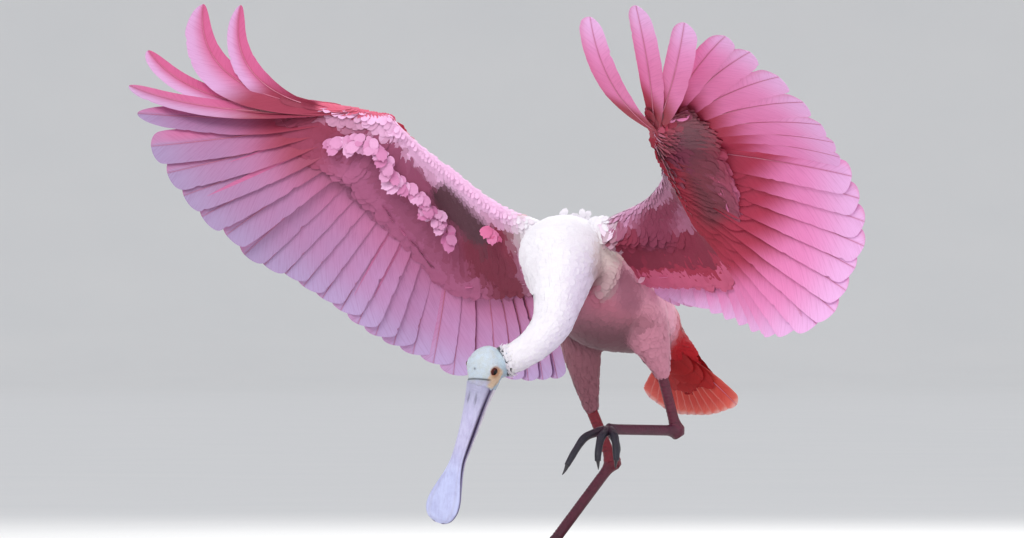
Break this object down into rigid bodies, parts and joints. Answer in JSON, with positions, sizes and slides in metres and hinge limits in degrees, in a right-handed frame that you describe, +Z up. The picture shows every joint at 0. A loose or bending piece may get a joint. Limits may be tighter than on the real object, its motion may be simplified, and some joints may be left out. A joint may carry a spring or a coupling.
{
  "type": "roseate spoonbill model",
  "caption": "Roseate spoonbill in life size, alighting on one leg with both wings raised and its bill pointing down, on a plain round base.",
  "frame": {"origin": "centre of the round base's underside", "axes": "+Z up; the bird heads towards -Y and its left is +X"},
  "size_m": [0.9903, 0.5151, 0.6516],
  "materials": {
    "plumage_white": "soft feathers, white with a pink and brown tint below",
    "plumage_pink": "soft pink feathers",
    "wing_feathers": "pink vanes with crimson bases",
    "tail_feathers": "orange vanes with red coverts",
    "bare_skin": "pale bare skin",
    "bill": "smooth horn",
    "eye": "glossy dark red",
    "leg_skin": "scaly maroon skin",
    "foot_skin": "dark scaly skin",
    "base": "matt painted board"
  },
  "bodies": {
    "root": {"bill_lower": "bill", "bill_upper": "bill", "eye_left": "eye", "eye_right": "eye", "foot_left": "foot_skin", "foot_right": "foot_skin", "head": "bare_skin", "neck_lower": "plumage_white", "neck_upper": "plumage_white", "shank_left": "leg_skin", "shank_right": "leg_skin", "stand_base": "base", "tail": "tail_feathers", "tarsus_left": "leg_skin", "tarsus_right": "leg_skin", "thigh_left": "plumage_pink", "thigh_right": "plumage_pink", "torso": "plumage_white", "wing_arm_left": "wing_feathers", "wing_arm_right": "wing_feathers", "wing_hand_left": "wing_feathers", "wing_hand_right": "wing_feathers"}
  },
  "joints": []
}
